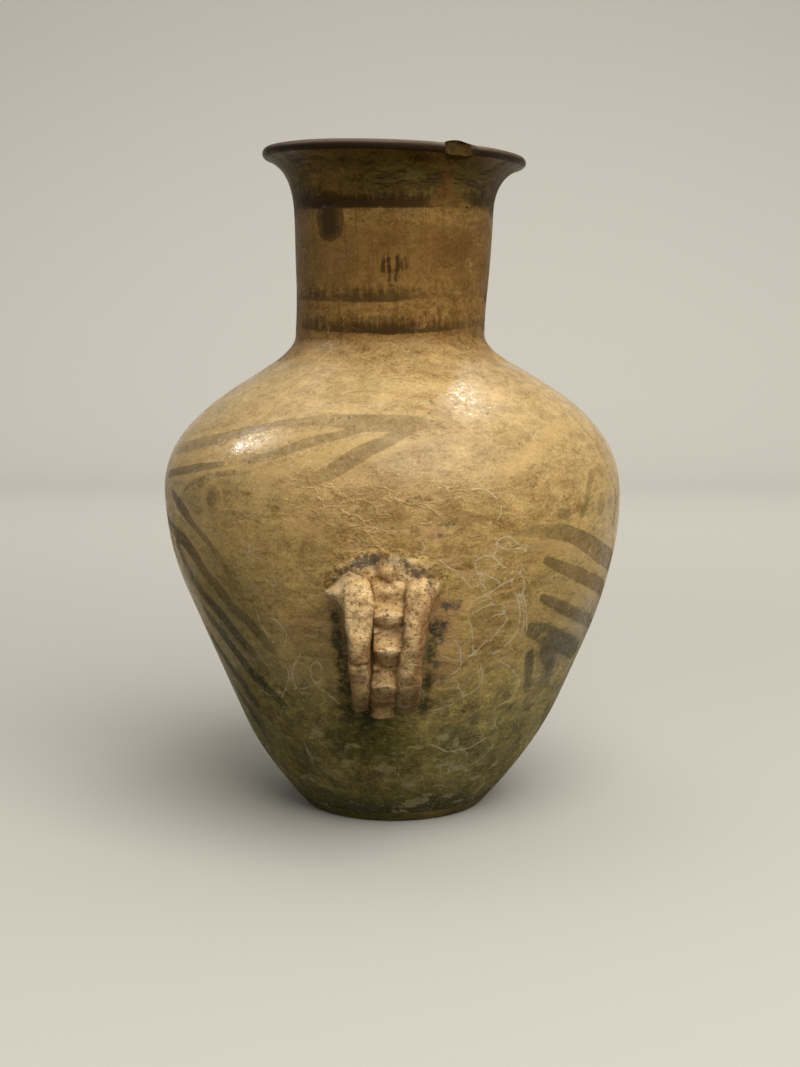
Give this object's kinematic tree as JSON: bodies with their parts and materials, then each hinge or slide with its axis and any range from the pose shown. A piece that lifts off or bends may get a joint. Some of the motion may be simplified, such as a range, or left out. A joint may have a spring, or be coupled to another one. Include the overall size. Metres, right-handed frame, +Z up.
{
  "type": "painted pottery jar",
  "caption": "Hand-built pottery storage jar with a rounded belly, a tall neck with a flared rim, and a looped strap handle low on each side.",
  "frame": {"origin": "centre of the flat base, on the surface that the jar stands on", "axes": "+Z up along the jar's axis towards the mouth, -Y towards the front handle"},
  "size_m": [0.23, 0.2634, 0.3269],
  "materials": {
    "burnished_slip": "burnished tan clay with worn dark painted swirls",
    "neck_slip": "smoothed clay with worn dark painted bands",
    "rim_paint": "dark painted lip, worn at the edge",
    "base_clay": "smoothed clay, soil stained",
    "handle_clay": "rough sandy clay, not burnished"
  },
  "bodies": {
    "root": {"base_disc": "base_clay", "lower_wall_strip_1": "burnished_slip", "lower_wall_strip_2": "burnished_slip", "lower_wall_strip_3": "burnished_slip", "lower_wall_strip_4": "burnished_slip", "lower_wall_strip_5": "burnished_slip", "shoulder_strip_1": "burnished_slip", "shoulder_strip_2": "burnished_slip", "shoulder_strip_3": "burnished_slip", "neck_strip_1": "neck_slip", "neck_strip_2": "neck_slip", "rim_strip": "rim_paint", "front_handle_left_roll": "handle_clay", "front_handle_right_roll": "handle_clay", "front_handle_pressed_strip": "handle_clay", "front_handle_root_pad": "handle_clay", "rear_handle_left_roll": "handle_clay", "rear_handle_right_roll": "handle_clay", "rear_handle_pressed_strip": "handle_clay", "rear_handle_root_pad": "handle_clay"}
  },
  "joints": []
}
